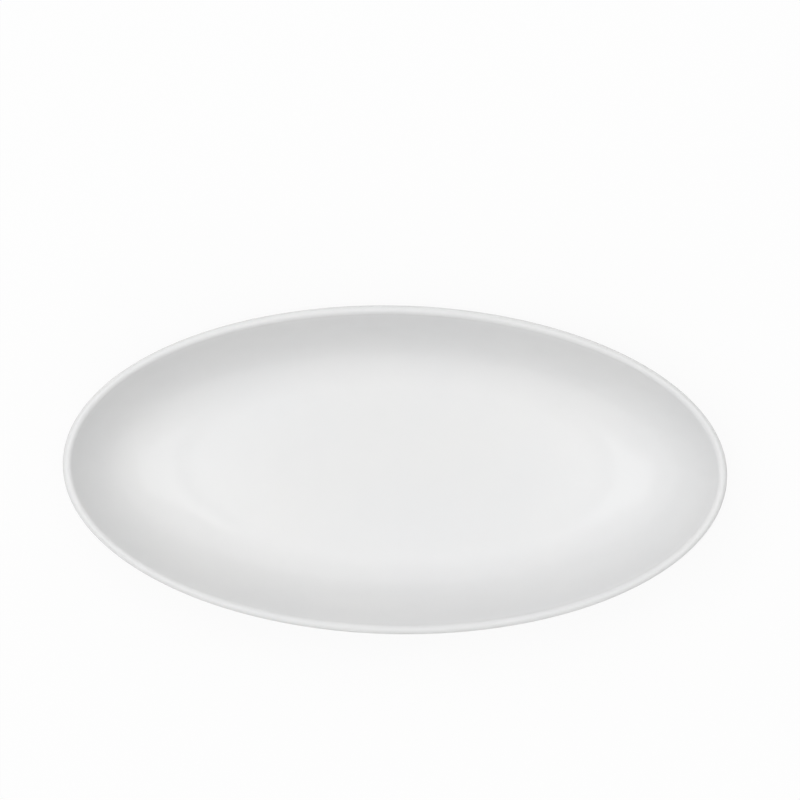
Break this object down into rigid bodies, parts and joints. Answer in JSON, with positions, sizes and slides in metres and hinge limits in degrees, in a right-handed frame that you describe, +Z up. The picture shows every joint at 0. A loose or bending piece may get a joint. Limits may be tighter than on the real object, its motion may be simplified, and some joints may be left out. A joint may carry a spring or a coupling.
{
  "type": "oval serving dish",
  "caption": "Deep oval serving dish on a low foot ring: white gloss glaze in the well and over the lip, dark grey-brown brushed glaze round the outside.",
  "frame": {"origin": "middle of the plane that the foot ring stands on", "axes": "+X along the dish's length, +Y across its width, +Z up out of the well"},
  "size_m": [0.28, 0.1384, 0.047],
  "materials": {
    "porcelain": "bare fired porcelain, matt",
    "white_glaze": "white gloss glaze",
    "dark_glaze": "dark grey-brown brushed glaze, satin gloss"
  },
  "bodies": {
    "root": {"dish_body": "porcelain", "inside_glaze": "white_glaze", "outside_glaze": "dark_glaze", "base_glaze": "white_glaze"}
  },
  "joints": []
}
